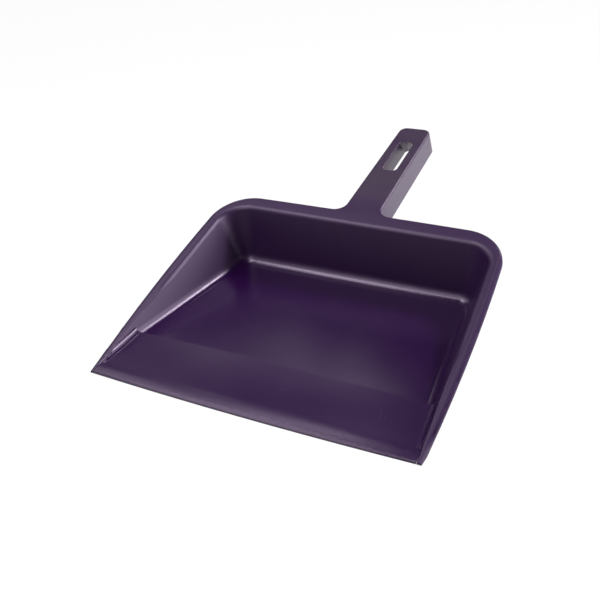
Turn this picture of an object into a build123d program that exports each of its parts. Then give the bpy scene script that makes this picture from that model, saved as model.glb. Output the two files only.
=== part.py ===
"""Hand dustpan: a moulded pan with rim and handle, a ramped front lip, and a cover under the handle."""
import os
from math import cos, radians, sin, tan

from build123d import *

# Rim and front edge, in millimetres and degrees. The lip's corners are on y = 0, the handle points to +Y.
lip_width = 311.0
lip_bow = 2.8
lip_thickness = 2.4
rear_width = 302.0
rim_length = 258.0
rim_pitch = 14.6
side_bow = 4.0
rear_bow = 1.2
rim_corner_radius = 43.0
rim_thickness = 2.6
rim_edge_depth = 5.0
rim_edge_wall = 2.2
edge_round = 2.4
front_inner_round = 0.9
inner_round = 5.5
inner_run_start = 70.0
inner_run_length = 60.0

# Inside of the pan
wall = 2.6
floor_thickness = 3.5
side_draft = 17.5
rear_draft = 7.3
front_rim_width = 3.35
side_rim_width = 9.4
rear_rim_width = 16.5
floor_corner_radius = 12.0
top_corner_radius = 30.0
floor_fillet = 10.0
base_fillet = 2.5

# Handle and its hanging slot
handle_pitch = 10.5
handle_length = 165.5
handle_root_width = 38.8
handle_tip_width = 35.2
handle_depth = 25.0
handle_flare = 4.0
handle_wall = 2.6
tip_radius = 8.0
gusset_radius = 12.0
handle_blend = 0.4
bend_radius = 200.0
slot_length = 57.0
slot_width = 16.0
slot_draft = 2.3
slot_run_out = 13.5
slot_corner_radius = 5.0
slot_end_gap = 29.0
slot_wall = 2.2
slot_round = 0.6
boss_diameter = 8.0

# Front lip, set between the side walls on the pan's shelf
lip_depth = 60.0
crest_bow = 3.0
crest_height = 9.0
band_depth = 8.0
band_rise = 1.9
ramp_belly = -1.1
band_blend = 60.0
shelf_thickness = 2.2
nose_depth = 14.0
cove_radius = 5.0
cove_rise = 4.8
cove_edge = 0.6
nose_round = 0.8
crest_round = 0.8
rivet_count = 5
rivet_side_gap = 28.0
rivet_shank = 4.0
rivet_head = 9.0
rivet_head_height = 1.0
rivet_grip = 2.2

# Cover under the handle and its screws
cover_thickness = 2.2
cover_inset = 5.0
screw_diameter = 3.0
screw_head = 6.0
screw_length = 14.0
recess_width = 0.9
recess_length = 3.6
recess_depth = 0.9

# Clearances between the pieces
fit_gap = 0.25
tube_gap = 0.3
hole_gap = 0.2
thread_gap = 0.05

# How far cutting shapes reach past the pan, how far off level a face still counts as facing up or down,
# and how near a plane an edge counts as lying on it
lead = 30.0
level_angle = 25.0
touching = 0.01

# Worked out from the sizes above
facing = cos(radians(level_angle))
rim_rise = tan(radians(rim_pitch))
rim_rear_y = rim_length * cos(radians(rim_pitch))
rim_rear_z = lip_thickness + rim_length * sin(radians(rim_pitch))
rim_plane = Plane((0, 0, lip_thickness), (1, 0, 0), (0, -sin(radians(rim_pitch)), cos(radians(rim_pitch))))
handle_plane = Plane(
    (0, rim_rear_y, rim_rear_z), (1, 0, 0), (0, -sin(radians(handle_pitch)), cos(radians(handle_pitch)))
)
bend_angle = radians(rim_pitch - handle_pitch)
handle_tip_y = rim_length + handle_length * cos(bend_angle)
inner_front_half = lip_width / 2 - front_rim_width
inner_rear_half = rear_width / 2 - side_rim_width
inner_taper = (inner_front_half - inner_rear_half) / rim_rear_y
inner_back_y = (rim_length - rear_rim_width) * cos(radians(rim_pitch))
inner_back_z = lip_thickness + inner_back_y * rim_rise
hollow_top = inner_back_z + lead / 2
prism_depth = handle_depth + handle_length * sin(bend_angle) + lead / 2
cover_bottom = handle_depth - cover_inset
cover_level = cover_bottom - cover_thickness
counterbore = rivet_head_height + hole_gap
rivet_y = (nose_depth + lip_depth) / 2
slot_centre = handle_length - slot_end_gap - slot_length / 2
boss_places = ((slot_centre - slot_length / 2) / 2, handle_length - (slot_end_gap - slot_run_out) / 2)
front_rounding = min(front_inner_round, front_rim_width - edge_round - touching)


def side_x(y, z):
    """Half the clear width between the side walls."""
    rim_z = lip_thickness + y * rim_rise
    return inner_front_half - y * inner_taper + (z - rim_z) * tan(radians(side_draft))


def mouth_point(y, drop):
    """A point on the right side wall, drop below the rim's top plane."""
    z = lip_thickness + y * rim_rise - drop
    return Vector(side_x(y, z), y, z)


def back_y(z):
    """Inner face of the rear wall."""
    return inner_back_y + (z - inner_back_z) * tan(radians(rear_draft))


def corner_radius(z):
    """Inner rear corners, tight at the floor and wide at the rim."""
    share = (z - floor_thickness) / (inner_back_z - floor_thickness)
    return floor_corner_radius + share * (top_corner_radius - floor_corner_radius)


def hollow(low, grow):
    """The inside of the pan from height low to above the rim, with every wall moved outward by grow."""
    sections = []
    for z in (low, hollow_top):
        front = side_x(-lead, z) + grow
        back = back_y(z) + grow
        rear = side_x(back, z) + grow
        corners = [(-front, -lead), (front, -lead), (rear, back), (-rear, back)]
        outline = make_face(Polyline(*corners, close=True))
        outline = fillet(outline.vertices().group_by(Axis.Y)[-1], corner_radius(z) + grow)
        sections.append(Pos(0, 0, z) * outline)
    return loft(sections, ruled=True)


def floor_edges(body):
    """The bottom edges of a hollow shape, except the one across the front."""
    return body.faces().sort_by(Axis.Z)[0].edges().sort_by(Axis.Y)[1:]


def under_roof(drop):
    """All that lies below the top faces of rim and handle, lowered square to them by drop."""
    middle = radians((rim_pitch + handle_pitch) / 2)
    reach = drop / cos(bend_angle / 2)
    bend = Vector(rim_rear_y + reach * sin(middle), rim_rear_z - reach * cos(middle))
    rim_way = Vector(cos(radians(rim_pitch)), sin(radians(rim_pitch)))
    handle_way = Vector(cos(radians(handle_pitch)), sin(radians(handle_pitch)))
    front = bend - rim_way * (rim_length + 2 * lead)
    tip = bend + handle_way * (handle_length + lead)
    side = make_face(Polyline(front, bend, tip, (tip.X, -lead), (front.X, -lead), close=True))
    side = fillet(side.vertices().sort_by_distance(bend)[0], bend_radius - drop)
    return extrude(Plane.YZ * side, lip_width, both=True)


def handle_half(y):
    """Half the handle's width on the rim's plane."""
    root_half = handle_root_width / 2
    tip_half = handle_tip_width / 2 - handle_length * sin(bend_angle) * tan(radians(handle_flare))
    return root_half + (tip_half - root_half) * (y - rim_length) / (handle_tip_y - rim_length)


def handle_strip(tip, grow):
    """The plan between the handle's sides, from inside the pan to tip, widened on both sides by grow."""
    start = rim_length - 1.5 * lead
    start_half = handle_half(start) + grow
    tip_half = handle_half(tip) + grow
    corners = [(-start_half, start), (start_half, start), (tip_half, tip), (-tip_half, tip)]
    return make_face(Polyline(*corners, close=True))


def handle_outline():
    """The handle's plan on the rim's plane, run back into the pan."""
    outline = handle_strip(handle_tip_y, 0)
    return fillet(outline.vertices().group_by(Axis.Y)[-1], tip_radius)


def rim_outline():
    """The plan of rim and handle together on the rim's plane, open space added in front of the lip."""
    middle = Vector((lip_width + rear_width) / 4 + side_bow, rim_length / 2)
    corner = Vector(rear_width / 2, rim_length)
    front = ThreePointArc((lip_width / 2, 0), middle, corner) @ (-lead / rim_length)
    right = ThreePointArc(front, middle, corner)
    rear = ThreePointArc(corner, (0, rim_length + rear_bow), (-corner.X, corner.Y))
    left = mirror(right, Plane.YZ)
    rim = make_face(Curve() + [right, rear, left, Line((-front.X, front.Y), front)])
    rim = fillet(rim.vertices().group_by(Axis.Y)[-1], rim_corner_radius)
    rim = fillet(rim.vertices().group_by(Axis.Y)[0], lead / 2)
    whole = Sketch() + rim + handle_outline()
    roots = whole.vertices().filter_by(lambda v: abs(v.X) < handle_root_width)
    roots = roots.filter_by(lambda v: abs(v.Y - rim_length) < 2 * rear_bow)
    return fillet(roots, gusset_radius)


def flared(outline):
    """A plan on the rim's plane carried downward, each side leaning out by the handle's flare."""
    lower = offset(outline, prism_depth * tan(radians(handle_flare)))
    return loft([rim_plane.offset(-prism_depth) * lower, rim_plane * outline], ruled=True)


def bowed_block(y, bow, far):
    """A tall block between an arc across the pan, at y by the lip's corners, and a straight side at far."""
    arc = ThreePointArc((-lip_width / 2, y), (0, y + bow), (lip_width / 2, y))
    left = arc @ (-lead / lip_width)
    arc = ThreePointArc(left, (0, y + bow), (-left.X, left.Y))
    ends = Polyline(arc @ 1, (-left.X, far), (left.X, far), arc @ 0)
    return extrude(make_face(Curve() + [arc, ends]), 2 * hollow_top, both=True)


def ramp_side(raised):
    """The ramp's profile from the front edge to behind the crest, lifted by raised."""
    end = lip_depth + crest_bow
    blade = band_rise / band_depth
    start = (-lead, lip_thickness - lead * blade + raised)
    brink = (band_depth, lip_thickness + band_rise + raised)
    crest = (end, crest_height + raised)
    belly = ((band_depth + end) / 2, (brink[1] + crest[1]) / 2 + ramp_belly)
    return Line(start, brink), ThreePointArc(brink, belly, crest), Line(crest, (end + lead, crest[1]))


def ramp_prism(raised, rest):
    """The ramp's profile closed by the given further points and carried across the pan."""
    blade, ramp, back = ramp_side(raised)
    outline = make_face(Curve() + [blade, ramp, back, Polyline(back @ 1, *rest, blade @ 0)])
    outline = fillet(outline.vertices().sort_by_distance(blade @ 1)[0], band_blend)
    return extrude(Plane.YZ * outline, lip_width, both=True)


def slot_shape(depth, grow):
    """The hanging slot's outline at a depth: narrower than on top, and its rear end run out to the tip."""
    run_out = slot_run_out * depth / cover_bottom
    width = slot_width - 2 * depth * tan(radians(slot_draft))
    outline = RectangleRounded(width + 2 * grow, slot_length + run_out + 2 * grow, slot_corner_radius + grow)
    return handle_plane.offset(-depth) * Pos(0, slot_centre + run_out / 2) * outline


def slot_column(top, bottom, grow):
    """The hanging slot from one depth to another, widened all round by grow."""
    return loft([slot_shape(bottom, grow), slot_shape(top, grow)], ruled=True)


def on_handle(outline, top, bottom):
    """An outline on the handle's top plane carried from one depth below it to another."""
    return extrude(handle_plane.offset(-top) * outline, top - bottom)


ground = Pos(0, rim_length / 2, 0) * Box(
    2 * lip_width, 4 * rim_length, 2 * rim_length, align=(Align.CENTER, Align.CENTER, Align.MIN)
)
lip_front = bowed_block(0, -lip_bow, rim_length + 2 * handle_length)
pan_outside = hollow(0, wall)

# Rim with its down-turned edge, left deep along the handle
plan = rim_outline()
right_half = Pos(lip_width, 0, 0) * Box(2 * lip_width, 8 * rim_length, 8 * rim_length)
right_slab = flared(plan) & under_roof(0) & right_half
top_edges = right_slab.faces().filter_by(lambda f: f.normal_at().Z > facing).edges()
around = top_edges.filter_by(Axis.X, reverse=True).filter_by(lambda e: (e @ 0.5).X > touching)
tip_edge = top_edges.filter_by(Axis.X).sort_by(Axis.Y)[-1:]
right_slab = fillet((around + tip_edge).sort_by(Axis.Y), edge_round)
slab = right_slab + mirror(right_slab, Plane.YZ)
above_cover = handle_plane.offset(-handle_depth) * Rectangle(lip_width, 4 * rim_length)
handle_space = extrude(above_cover, 2 * rim_length)
handle_zone = flared(handle_strip(handle_tip_y + lead, handle_blend)) & handle_space
rim_hollow = flared(offset(plan, -rim_edge_wall)) & under_roof(rim_thickness)
rim = slab - (under_roof(rim_edge_depth) - handle_zone) - (rim_hollow - handle_zone)

# Pan with its handle
pan_wall = fillet(floor_edges(pan_outside), base_fillet) & under_roof(rim_thickness / 2)
pan_shell = (rim + pan_wall) & ground & lip_front

channel = (flared(offset(handle_outline(), -handle_wall)) & under_roof(rim_thickness)) - pan_outside
inside = hollow(floor_thickness, 0)
raw_inside = hollow(shelf_thickness, 0)
seat = raw_inside & bowed_block(lip_depth + fit_gap, crest_bow, -lead)
nose_seat = hollow(-fit_gap, 0) & Pos(0, nose_depth + fit_gap, 0) * Box(
    2 * lip_width, 4 * lead, 4 * lead, align=(Align.CENTER, Align.MAX, Align.CENTER)
)
pan_shell = pan_shell - channel - fillet(floor_edges(inside), floor_fillet) - seat - nose_seat
rim_edges = pan_shell.edges().filter_by(lambda e: abs(rim_plane.to_local_coords(e @ 0.5).Z) < touching)
inner_edges = rim_edges.filter_by(lambda e: raw_inside.distance_to(e @ 0.5) < touching)
pan_shell = fillet(inner_edges, front_rounding)

# Wider round behind the lip, run out to nothing along the side walls
rim_sheet = rim_plane * Rectangle(2 * lip_width, 4 * rim_length)
mouth = hollow(-lead / 3, 0)
ledge = extrude(rim_sheet, -2 * rim_length) - mouth
ledge_edges = ledge.edges().filter_by(lambda e: abs(rim_plane.to_local_coords(e @ 0.5).Z) < touching)
ledge_edges = ledge_edges.filter_by(lambda e: mouth.distance_to(e @ 0.5) < touching).sort_by(Axis.Y)[1:]
mouth_round = extrude(rim_sheet, -inner_round) - fillet(ledge_edges, inner_round)
run_start = mouth_point(inner_run_start, 0)
run_end = mouth_point(inner_run_start + inner_run_length, 0)
reach = inner_round * tan(radians(45 - side_draft / 2))
along_rim = run_end + Vector(reach, 0, 0) - run_start
down_wall = mouth_point(inner_run_start + inner_run_length, reach) - run_start
run_plane = Plane(run_start, along_rim, along_rim.cross(down_wall))
run_space = extrude(run_plane * Rectangle(8 * rim_length, 8 * rim_length), 4 * rim_length)
right_round = mouth_round & right_half & run_space
pan_shell = pan_shell - right_round - mirror(right_round, Plane.YZ)

pan_shell += slot_column(rim_thickness / 2, cover_bottom, slot_wall)
for place in boss_places:
    pan_shell += on_handle(Pos(0, place) * Circle(boss_diameter / 2), rim_thickness / 2, cover_level)
pan_shell -= slot_column(-touching, cover_bottom + touching, 0)
slot_edges = pan_shell.edges().filter_by(lambda e: abs(handle_plane.to_local_coords(e @ 0.5).Z) < touching)
slot_edges = slot_edges.filter_by(lambda e: abs((e @ 0.5).X) < slot_width / 2 + touching)
slot_edges = slot_edges.filter_by(
    lambda e: abs(handle_plane.to_local_coords(e @ 0.5).Y - slot_centre) < slot_length / 2 + touching
)
pan_shell = fillet(slot_edges, slot_round)

# Lip, rivets, and the holes for them
rivet_row = 2 * (side_x(rivet_y, shelf_thickness) - rivet_side_gap)
rivet_spots = [Pos((i / (rivet_count - 1) - 0.5) * rivet_row, rivet_y, 0) for i in range(rivet_count)]
upright = (Align.CENTER, Align.CENTER, Align.MIN)
lip_limits = hollow(-fit_gap, -fit_gap) & lip_front & bowed_block(lip_depth, crest_bow, -lead)
far_back = lip_depth + crest_bow + lead
under_lip = [(far_back, shelf_thickness), (nose_depth, shelf_thickness), (nose_depth, 0), (-lead, 0)]
over_lip = [(far_back, hollow_top), (-lead, hollow_top)]
ramp_space = ramp_prism(0, over_lip) & hollow(-fit_gap, -fit_gap - cove_edge)
cove_edges = ramp_space.faces().filter_by(lambda f: f.normal_at().Z < -facing).edges()
ramp_space = fillet(cove_edges.filter_by(Axis.X, reverse=True).sort_by(Axis.X), cove_radius)
blade = ramp_prism(0, under_lip) & lip_limits
blade = fillet(blade.faces().sort_by(Axis.Y)[-1].edges().sort_by(Axis.Z)[-1], crest_round)
blade = fillet(blade.faces().sort_by(Axis.Y)[0].edges().sort_by(Axis.Z)[-1], nose_round)
coves = (ramp_prism(cove_rise, under_lip) & lip_limits & under_roof(edge_round / 2)) - ramp_space
front_lip = blade + coves

lip_rivets = []
for spot in rivet_spots:
    pan_shell -= spot * Cylinder(rivet_shank / 2 + hole_gap, shelf_thickness, align=upright)
    pan_shell -= spot * Cylinder(rivet_head / 2 + fit_gap, counterbore, align=upright)
    front_lip -= spot * Pos(0, 0, shelf_thickness) * Cylinder(
        rivet_shank / 2 + hole_gap / 2, rivet_grip + hole_gap, align=upright
    )
    head = Pos(0, 0, hole_gap) * Cylinder(rivet_head / 2, rivet_head_height, align=upright)
    shank = Cylinder(rivet_shank / 2, shelf_thickness + rivet_grip - counterbore, align=upright)
    shank = chamfer(shank.edges().sort_by(Axis.Z)[-1], rivet_shank / 8)
    lip_rivets.append(spot * (head + Pos(0, 0, counterbore) * shank))

# Cover and screws
cover_plan = offset(handle_outline(), -handle_wall - fit_gap)
cover_layer = on_handle(Rectangle(lip_width, 4 * rim_length), cover_level, cover_bottom)
handle_cover = (flared(cover_plan) & cover_layer) - hollow(0, wall + fit_gap)
handle_cover -= slot_column(cover_level - tube_gap, cover_bottom + tube_gap, slot_wall + tube_gap)
handle_screws = []
for place in boss_places:
    below = handle_plane * Pos(0, place, -cover_bottom)
    sink = (screw_head - screw_diameter) / 2
    sunk_head = Cone(screw_head / 2, screw_diameter / 2, sink, align=upright)
    pan_shell -= below * Cylinder(screw_diameter / 2 + thread_gap, screw_length + hole_gap, align=upright)
    handle_cover -= below * Cylinder(screw_diameter / 2 + thread_gap, cover_thickness, align=upright)
    handle_cover -= below * sunk_head
    screw = sunk_head + Cylinder(screw_diameter / 2, screw_length, align=upright)
    for turn in (0, 90):
        screw -= Rot(0, 0, turn) * Box(recess_length, recess_width, recess_depth, align=upright)
    handle_screws.append(below * screw)

pieces = {
    "pan_shell": pan_shell.solid(),
    "front_lip": front_lip.solid(),
    "lip_rivets": Compound([rivet.solid() for rivet in lip_rivets]),
    "handle_cover": handle_cover.solid(),
    "handle_screws": Compound([screw.solid() for screw in handle_screws]),
}
box = Compound(list(pieces.values())).bounding_box()
centred = Pos(0, -box.center().Y, -box.min.Z)
os.makedirs("parts", exist_ok=True)
for name, piece in pieces.items():
    export_step(centred * piece, f"parts/{name}.step")
    print(name, len(piece.solids()), "solids", round(piece.volume), "mm3")
print("size", box.size, "shift", centred.position)
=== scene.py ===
# Hand dustpan in dark purple plastic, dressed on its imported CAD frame
import math

import bpy
import numpy as np
from mathutils import Matrix, Vector

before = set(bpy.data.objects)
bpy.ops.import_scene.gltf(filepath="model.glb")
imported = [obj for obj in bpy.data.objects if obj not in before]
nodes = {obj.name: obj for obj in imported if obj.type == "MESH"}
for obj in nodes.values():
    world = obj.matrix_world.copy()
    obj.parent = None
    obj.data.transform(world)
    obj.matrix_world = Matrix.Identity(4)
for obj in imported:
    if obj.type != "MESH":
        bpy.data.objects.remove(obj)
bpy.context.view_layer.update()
print("frame loaded:", ", ".join(sorted(nodes)))

# camera fitted to the photo: looks down on the lip from the right
cameraView = {
    "aim": (-0.00262, -0.08973, 0.04),  # the point it looks at, metres
    "azimuth": 29.38,  # to the right of the pan's centre line, degrees
    "elevation": 31.43,
    "roll": -4.66,
    "distance": 0.74034,
    "lens": 49.41,  # mm, as the sensor's width
    "sensor": 36,
    "clip": (0.01, 50),  # nearest and farthest, metres
}


def makeCamera(spec):
    # forward, right and up from azimuth and elevation, then right and up turned about forward by the roll
    az, el, roll = (math.radians(spec[k]) for k in ("azimuth", "elevation", "roll"))
    forward = Vector((-math.cos(el) * math.sin(az), math.cos(el) * math.cos(az), -math.sin(el)))
    right = Vector((math.cos(az), math.sin(az), 0))
    up = right.cross(forward)
    right, up = right * math.cos(roll) + up * math.sin(roll), up * math.cos(roll) - right * math.sin(roll)
    data = bpy.data.cameras.new("photoCamera")
    data.lens = spec["lens"]
    data.sensor_width = spec["sensor"]
    data.clip_start, data.clip_end = spec["clip"]
    camera = bpy.data.objects.new("photoCamera", data)
    turn = Matrix((right, up, -forward)).transposed().to_4x4()
    camera.matrix_world = Matrix.Translation(Vector(spec["aim"]) - forward * spec["distance"]) @ turn
    bpy.context.scene.collection.objects.link(camera)
    bpy.context.scene.camera = camera


makeCamera(cameraView)
print("camera placed")

# white paper and softboxes round the pan
studio = {
    "floorSize": 8.0,
    "floorColour": (0.82, 0.82, 0.82),
    "floorRoughness": 0.9,
    "floorSpecular": 0.0,
    "backdropShare": 0.97,  # how much of the paper the camera sees as evenly lit
    "backdropLight": 1.0,
    "worldColour": (1.0, 1.0, 1.0),
    "worldStrength": 0.05,
    "aim": (0.0, 0.0, 0.03),  # the point that the softboxes face
    "reach": 1.2,  # from there to each softbox, metres
}
softboxes = {
    # azimuth as the camera's, 0 in front and 90 on the right, elevation, width, height, radiance
    # small ones behind on the left: the sheen on the pan's floor
    "backHigh": (203, 46, 0.16, 0.1, 3.2),
    "backMid": (210, 41, 0.24, 0.1, 1.2),
    "backStrip": (223, 37, 0.4, 0.1, 0.8),
    "backLow": (237, 30, 0.16, 0.1, 3.0),
    # on the left: ramp, lip and rim
    "rampLeft": (238, 48, 0.16, 0.1, 2.5),
    "leftTop": (226, 64, 0.16, 0.12, 11.0),
    "lipTop": (243, 61, 0.16, 0.12, 6.0),
    "leftFill": (264, 50, 0.3, 0.4, 3.2),
    "leftLow": (275, 32, 0.4, 0.25, 6.0),
    # large ones above and in front: the line at the foot of the back wall
    "keyTop": (270, 68, 0.3, 0.3, 8.0),
    "key": (300, 57, 0.35, 0.35, 11.0),
    "keyRight": (326, 64, 0.35, 0.3, 11.0),
    "front": (350, 40, 0.5, 0.4, 8.5),
    # on the right: the handle's side, the left wall and the line at its foot
    "rightLow": (107, 13, 0.65, 0.32, 28.0),
    "rightHigh": (136, 41, 0.24, 0.2, 115.0),
}


def makeFloor(spec):
    half = spec["floorSize"] / 2
    corners = np.array([(-half, -half, 0), (half, -half, 0), (half, half, 0), (-half, half, 0)])
    mesh = bpy.data.meshes.new("studioFloor")
    mesh.from_pydata(corners.tolist(), [], [(0, 1, 2, 3)])
    floor = bpy.data.objects.new("studioFloor", mesh)
    bpy.context.scene.collection.objects.link(floor)
    paint = bpy.data.materials.new("studioPaper")
    paint.use_nodes = True
    tree = paint.node_tree
    paper = tree.nodes["Principled BSDF"]
    paper.inputs["Base Color"].default_value = (*spec["floorColour"], 1)
    paper.inputs["Roughness"].default_value = spec["floorRoughness"]
    paper.inputs["Specular IOR Level"].default_value = spec["floorSpecular"]
    glow = tree.nodes.new("ShaderNodeEmission")
    glow.inputs["Strength"].default_value = spec["backdropLight"]
    path = tree.nodes.new("ShaderNodeLightPath")
    share = tree.nodes.new("ShaderNodeMath")
    share.operation = "MULTIPLY"
    share.inputs[1].default_value = spec["backdropShare"]
    mix = tree.nodes.new("ShaderNodeMixShader")
    tree.links.new(path.outputs["Is Camera Ray"], share.inputs[0])
    tree.links.new(share.outputs[0], mix.inputs[0])
    tree.links.new(paper.outputs[0], mix.inputs[1])
    tree.links.new(glow.outputs[0], mix.inputs[2])
    tree.links.new(mix.outputs[0], tree.nodes["Material Output"].inputs["Surface"])
    mesh.materials.append(paint)


def makeLights(spec, boxes):
    world = bpy.data.worlds.new("studio")
    bpy.context.scene.world = world
    world.use_nodes = True
    background = world.node_tree.nodes["Background"]
    background.inputs["Color"].default_value = (*spec["worldColour"], 1)
    background.inputs["Strength"].default_value = spec["worldStrength"]
    for name, (azimuth, elevation, width, height, radiance) in boxes.items():
        az, el = math.radians(azimuth), math.radians(elevation)
        toward = Vector((math.sin(az) * math.cos(el), -math.cos(az) * math.cos(el), math.sin(el)))
        data = bpy.data.lights.new(name, "AREA")
        data.shape = "RECTANGLE"
        data.size, data.size_y = width, height
        data.energy = math.pi * width * height * radiance  # watts that give this radiance
        lamp = bpy.data.objects.new(name, data)
        lamp.location = Vector(spec["aim"]) + toward * spec["reach"]
        lamp.rotation_euler = (-toward).to_track_quat("-Z", "Y").to_euler()
        lamp.visible_camera = False
        bpy.context.scene.collection.objects.link(lamp)
    bpy.context.scene.view_settings.view_transform = "Standard"


makeFloor(studio)
makeLights(studio, softboxes)
print("studio lit by", len(softboxes), "softboxes")


# node groups shared by the finishes; they give out heights and masks only
def newGroup(name, inputs, outputs):
    group = bpy.data.node_groups.new(name, "ShaderNodeTree")
    for label, kind, value in inputs:
        socket = group.interface.new_socket(label, in_out="INPUT", socket_type=kind)
        if value is not None:
            socket.default_value = value
    for label in outputs:
        group.interface.new_socket(label, in_out="OUTPUT", socket_type="NodeSocketFloat")
    return group, group.nodes.new("NodeGroupInput"), group.nodes.new("NodeGroupOutput")


def addMath(tree, operation, first, second):
    node = tree.nodes.new("ShaderNodeMath")
    node.operation = operation
    for socket, value in zip(node.inputs, (first, second)):
        if isinstance(value, (int, float)):
            socket.default_value = value
        else:
            tree.links.new(value, socket)
    return node.outputs[0]


def addRange(tree, value, low, high, outLow=0.0, outHigh=1.0):
    node = tree.nodes.new("ShaderNodeMapRange")
    node.interpolation_type = "SMOOTHSTEP"
    tree.links.new(value, node.inputs["Value"])
    for label, number in (("From Min", low), ("From Max", high), ("To Min", outLow), ("To Max", outHigh)):
        node.inputs[label].default_value = number
    return node.outputs["Result"]


def addNoise(tree, vector, scale, detail, roughness=0.5):
    node = tree.nodes.new("ShaderNodeTexNoise")
    node.inputs["Scale"].default_value = scale
    node.inputs["Detail"].default_value = detail
    node.inputs["Roughness"].default_value = roughness
    tree.links.new(vector, node.inputs["Vector"])
    return node.outputs["Fac"]


def addStretch(tree, vector, scale, turn):
    node = tree.nodes.new("ShaderNodeMapping")
    node.inputs["Scale"].default_value = scale
    node.inputs["Rotation"].default_value = (0, 0, math.radians(turn))
    tree.links.new(vector, node.inputs["Vector"])
    return node.outputs["Vector"]


grainPattern = {
    "coarse": (1400, 2, 0.7),  # noise scale, detail and share of the height: bumps 0.7 mm across
    "fine": (4200, 1, 0.3),  # 0.25 mm across
    "cloud": (22, 3),  # scale and detail of the slow patches
}


def makeGrainGroup(spec):
    # height of a spark-eroded mould's grain: two noises, each times its share, and slow cloudy patches
    group, start, end = newGroup("mouldedGrain", [("Vector", "NodeSocketVector", None)], ("Height", "Cloud"))
    vector = start.outputs["Vector"]
    layers = []
    for scale, detail, share in (spec["coarse"], spec["fine"]):
        layers.append(addMath(group, "MULTIPLY", addNoise(group, vector, scale, detail), share))
    group.links.new(addMath(group, "ADD", *layers), end.inputs["Height"])
    group.links.new(addNoise(group, vector, *spec["cloud"]), end.inputs["Cloud"])
    return group


scuffPattern = {
    "strokes": ((4, 700), (-9, 520)),  # turn in degrees and noise scale across the line, for each direction
    "along": 14,  # noise scale along the line
    "upright": 60,
    "noise": (1, 3),  # scale and detail of the drawn-out noise
    "crest": (0.6, 0.72),  # what is kept of it
    "patch": (30, 2),
    "patchRange": (0.42, 0.62),
}


def makeScuffGroup(spec):
    # hairline scuffs: noise drawn out along two near directions, only its crests kept, in patches
    group, start, end = newGroup("sweepScuffs", [("Vector", "NodeSocketVector", None)], ("Mask",))
    vector = start.outputs["Vector"]
    lines = []
    for turn, across in spec["strokes"]:
        drawn = addStretch(group, vector, (across, spec["along"], spec["upright"]), turn)
        lines.append(addRange(group, addNoise(group, drawn, *spec["noise"]), *spec["crest"]))
    patches = addRange(group, addNoise(group, vector, *spec["patch"]), *spec["patchRange"])
    both = addMath(group, "MAXIMUM", *lines)
    group.links.new(addMath(group, "MULTIPLY", both, patches), end.inputs["Mask"])
    return group


rubPattern = {
    "noise": (160, 4),  # scale and detail of the border's noise
    "ragged": 0.9,  # how far the noise moves the border, in widths
    "fade": (0.5, 1.3),  # the band fades between these, in widths
}


def makeRubGroup(spec):
    # rubbed band along the lip's edge: full at Front, gone Width behind it, its border broken up by noise
    sockets = [
        ("Vector", "NodeSocketVector", None),
        ("Front", "NodeSocketFloat", 0.0),
        ("Width", "NodeSocketFloat", 0.01),
    ]
    group, start, end = newGroup("edgeRub", sockets, ("Mask",))
    vector = start.outputs["Vector"]
    parts = group.nodes.new("ShaderNodeSeparateXYZ")
    group.links.new(vector, parts.inputs[0])
    behind = addMath(group, "SUBTRACT", parts.outputs["Y"], start.outputs["Front"])
    share = addMath(group, "DIVIDE", behind, start.outputs["Width"])
    ragged = addMath(group, "MULTIPLY", addNoise(group, vector, *spec["noise"]), spec["ragged"])
    band = addRange(group, addMath(group, "ADD", share, ragged), *spec["fade"], 1.0, 0.0)
    group.links.new(band, end.inputs["Mask"])
    return group


grainGroup = makeGrainGroup(grainPattern)
scuffGroup = makeScuffGroup(scuffPattern)
rubGroup = makeRubGroup(rubPattern)
print("patterns made: grain, scuffs, rubbed edge")


def useGroup(tree, group, vector, **values):
    node = tree.nodes.new("ShaderNodeGroup")
    node.node_tree = group
    tree.links.new(vector, node.inputs["Vector"])
    for label, value in values.items():
        node.inputs[label].default_value = value
    return node.outputs


def addBump(tree, height, strength, distance):
    node = tree.nodes.new("ShaderNodeBump")
    node.inputs["Strength"].default_value = strength
    node.inputs["Distance"].default_value = distance
    tree.links.new(height, node.inputs["Height"])
    return node.outputs["Normal"]


def addTint(tree, share, first, second):
    node = tree.nodes.new("ShaderNodeMix")
    node.data_type = "RGBA"
    tree.links.new(share, node.inputs["Factor"])
    for socket, colour in zip([s for s in node.inputs if s.type == "RGBA"], (first, second)):
        if isinstance(colour, tuple):
            socket.default_value = (*colour, 1)
        else:
            tree.links.new(colour, socket)
    return next(s for s in node.outputs if s.type == "RGBA")


def newMaterial(name):
    paint = bpy.data.materials.new(name)
    paint.use_nodes = True
    tree = paint.node_tree
    place = tree.nodes.new("ShaderNodeTexCoord").outputs["Object"]
    return paint, tree, tree.nodes["Principled BSDF"], place


# the moulded plastic that pan, cover and lip share
plastic = {
    "colour": (0.01, 0.0011, 0.0215),
    "cloudColour": (0.012, 0.0016, 0.0245),
    "cloudMiddle": 0.5,
    "cloudRoughness": 0.06,  # roughness swings by this much as the cloud goes from 0 to 1
    "gloss": (0.92, 0.75, 1.0),  # tint of its reflections
}


def addCloudy(tree, cloud, spec):
    # what the cloud adds to the roughness: its distance from the middle, times the swing
    off = addMath(tree, "SUBTRACT", cloud, spec["cloudMiddle"])
    return addMath(tree, "MULTIPLY", off, spec["cloudRoughness"])


def setSurface(tree, shader, height, spec):
    tree.links.new(addBump(tree, height, *spec["grain"]), shader.inputs["Normal"])
    shader.inputs["Specular IOR Level"].default_value = spec["specular"]
    shader.inputs["Specular Tint"].default_value = (*spec["gloss"], 1)


# outer edge of the rim, metres
rimEdge = {
    "front": -0.2092,  # where it starts at the lip
    "run": 0.2497,  # from there to the back
    "half": 0.1555,  # half the width at the lip
    "swell": 0.0115,
    "draw": -0.016,
    "band": (-0.0045, -0.002),  # the edge begins this far inside the outline, and is full here
}


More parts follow.
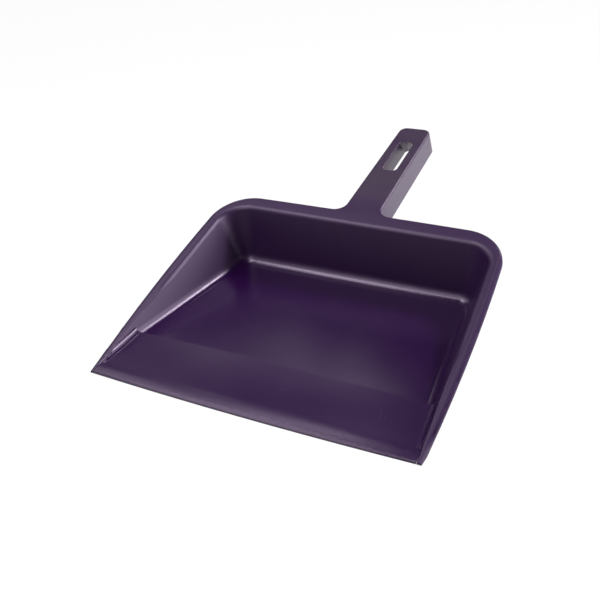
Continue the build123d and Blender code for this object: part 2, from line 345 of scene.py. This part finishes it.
def addRimEdge(tree, x, y, spec):
    # half the width at Y is half + along x (swell + draw x along), and the mask rises as X nears it
    along = addMath(tree, "DIVIDE", addMath(tree, "SUBTRACT", y, spec["front"]), spec["run"])
    bend = addMath(tree, "ADD", addMath(tree, "MULTIPLY", along, spec["draw"]), spec["swell"])
    half = addMath(tree, "ADD", addMath(tree, "MULTIPLY", along, bend), spec["half"])
    beyond = addMath(tree, "SUBTRACT", addMath(tree, "ABSOLUTE", x, 0.0), half)
    return addRange(tree, beyond, *spec["band"])


# pan and cover: satin, the floor of the pan polished by sweeping
panFinish = {
    **plastic,
    "scuffColour": (0.05, 0.036, 0.06),
    "handleWearAndSheenColour": (0.02, 0.0115, 0.0265),  # the handle, paler: partly wear from hands, partly a painted sheen for the light on it
    "handleSheenRoot": (0.045, 0.08),  # the painted sheen and wear grow between these places along Y, at the handle's root
    "handleSheenCloud": (0.1, 0.6),  # and are uneven with the cloud
    "wallRoughness": 0.46,
    "floorRoughness": 0.185,
    "edgeRoughness": 1.0,  # the rim's outer edge keeps the mould's coarse texture
    "floorTop": (0.0036, 0.0085),  # the polish fades out between these heights
    "scuffShare": 0.1,
    "scuffRoughness": 0.12,
    "specular": 0.5,
    "grain": (0.25, 0.00004),  # bump strength and depth in metres
}


def makePanPlastic(name, spec):
    paint, tree, shader, place = newMaterial(name)
    grain = useGroup(tree, grainGroup, place)
    cloud = grain["Cloud"]
    scuffs = useGroup(tree, scuffGroup, place)["Mask"]
    parts = tree.nodes.new("ShaderNodeSeparateXYZ")
    tree.links.new(place, parts.inputs[0])
    x, y, z = parts.outputs
    onFloor = addRange(tree, z, *spec["floorTop"], 1.0, 0.0)
    scuffed = addMath(tree, "MULTIPLY", addMath(tree, "MULTIPLY", scuffs, onFloor), spec["scuffShare"])
    # painted sheen on the handle, partly wear from hands: a paler base colour from the handle's root back
    handleSheenRamp = addRange(tree, y, *spec["handleSheenRoot"])
    handleWearAndSheen = addMath(tree, "MULTIPLY", handleSheenRamp, addRange(tree, cloud, *spec["handleSheenCloud"]))
    colour = addTint(tree, cloud, spec["colour"], spec["cloudColour"])
    colour = addTint(tree, handleWearAndSheen, colour, spec["handleWearAndSheenColour"])
    tree.links.new(addTint(tree, scuffed, colour, spec["scuffColour"]), shader.inputs["Base Color"])
    # roughness: the walls' own, plus what floor, cloud, rim edge and scuffs add
    slide = addMath(tree, "MULTIPLY", onFloor, spec["floorRoughness"] - spec["wallRoughness"])
    roughness = addMath(tree, "ADD", slide, addCloudy(tree, cloud, spec))
    roughness = addMath(tree, "ADD", roughness, spec["wallRoughness"])
    edge = addRimEdge(tree, x, y, rimEdge)
    coarse = addMath(tree, "MULTIPLY", edge, spec["edgeRoughness"] - spec["wallRoughness"])
    roughness = addMath(tree, "ADD", roughness, coarse)
    scuffRough = addMath(tree, "MULTIPLY", scuffed, spec["scuffRoughness"])
    tree.links.new(addMath(tree, "ADD", roughness, scuffRough), shader.inputs["Roughness"])
    setSurface(tree, shader, grain["Height"], spec)
    return paint


# lip: worn smooth on the ramp and rubbed dull along its front edge
lipFinish = {
    **plastic,
    "scuffColour": (0.06, 0.045, 0.07),
    "rubColour": (0.045, 0.032, 0.055),
    "roughness": 0.26,
    "rubShare": 0.6,
    "rubRoughness": 0.2,
    "scuffShare": 0.06,
    "scuffRoughness": 0.15,
    "front": -0.212,  # the lip's foremost point, metres
    "rubWidth": 0.006,
    "specular": 0.42,
    "grain": (0.2, 0.00004),
}


def makeLipPlastic(name, spec):
    paint, tree, shader, place = newMaterial(name)
    grain = useGroup(tree, grainGroup, place)
    cloud = grain["Cloud"]
    scuffed = addMath(tree, "MULTIPLY", useGroup(tree, scuffGroup, place)["Mask"], spec["scuffShare"])
    rub = useGroup(tree, rubGroup, place, Front=spec["front"], Width=spec["rubWidth"])["Mask"]
    rubbed = addMath(tree, "MULTIPLY", rub, spec["rubShare"])
    colour = addTint(tree, cloud, spec["colour"], spec["cloudColour"])
    colour = addTint(tree, scuffed, colour, spec["scuffColour"])
    tree.links.new(addTint(tree, rubbed, colour, spec["rubColour"]), shader.inputs["Base Color"])
    roughness = addMath(tree, "ADD", addCloudy(tree, cloud, spec), spec["roughness"])
    roughness = addMath(tree, "ADD", roughness, addMath(tree, "MULTIPLY", rubbed, spec["rubRoughness"]))
    roughness = addMath(tree, "ADD", roughness, addMath(tree, "MULTIPLY", scuffed, spec["scuffRoughness"]))
    tree.links.new(roughness, shader.inputs["Roughness"])
    setSurface(tree, shader, grain["Height"], spec)
    return paint


# rivets: plain black nylon
rivetFinish = {
    "colour": (0.012, 0.012, 0.013),
    "cloudColour": (0.02, 0.02, 0.022),
    "cloud": (0.3, 0.7),  # roughness follows the cloud between these
    "roughness": (0.4, 0.58),
    "grain": (0.3, 0.00003),
}


def makeNylon(name, spec):
    paint, tree, shader, place = newMaterial(name)
    grain = useGroup(tree, grainGroup, place)
    cloud = grain["Cloud"]
    tree.links.new(addTint(tree, cloud, spec["colour"], spec["cloudColour"]), shader.inputs["Base Color"])
    tree.links.new(addRange(tree, cloud, *spec["cloud"], *spec["roughness"]), shader.inputs["Roughness"])
    tree.links.new(addBump(tree, grain["Height"], *spec["grain"]), shader.inputs["Normal"])
    return paint


# screws: zinc plate, cloudy and a little dulled
screwFinish = {
    "colour": (0.58, 0.58, 0.6),
    "dullColour": (0.36, 0.36, 0.37),
    "spots": (900, 4, 0.6),  # noise scale, detail and roughness
    "spotRange": (0.4, 0.65),
    "roughness": (0.24, 0.46),
    "grain": (0.2, 0.00001),
}


def makeZinc(name, spec):
    paint, tree, shader, place = newMaterial(name)
    grain = useGroup(tree, grainGroup, place)
    spots = addRange(tree, addNoise(tree, place, *spec["spots"]), *spec["spotRange"])
    tree.links.new(addTint(tree, spots, spec["colour"], spec["dullColour"]), shader.inputs["Base Color"])
    tree.links.new(addRange(tree, spots, 0, 1, *spec["roughness"]), shader.inputs["Roughness"])
    tree.links.new(addBump(tree, grain["Height"], *spec["grain"]), shader.inputs["Normal"])
    shader.inputs["Metallic"].default_value = 1.0
    return paint


panPlastic = makePanPlastic("panPlastic", panFinish)
finishes = {
    "pan_shell": panPlastic,
    "handle_cover": panPlastic,
    "front_lip": makeLipPlastic("lipPlastic", lipFinish),
    "lip_rivets": makeNylon("rivetNylon", rivetFinish),
    "handle_screws": makeZinc("screwZinc", screwFinish),
}
for name, paint in finishes.items():
    for slot in nodes[name].material_slots:
        slot.material = paint
print("finishes laid on", len(finishes), "pieces")
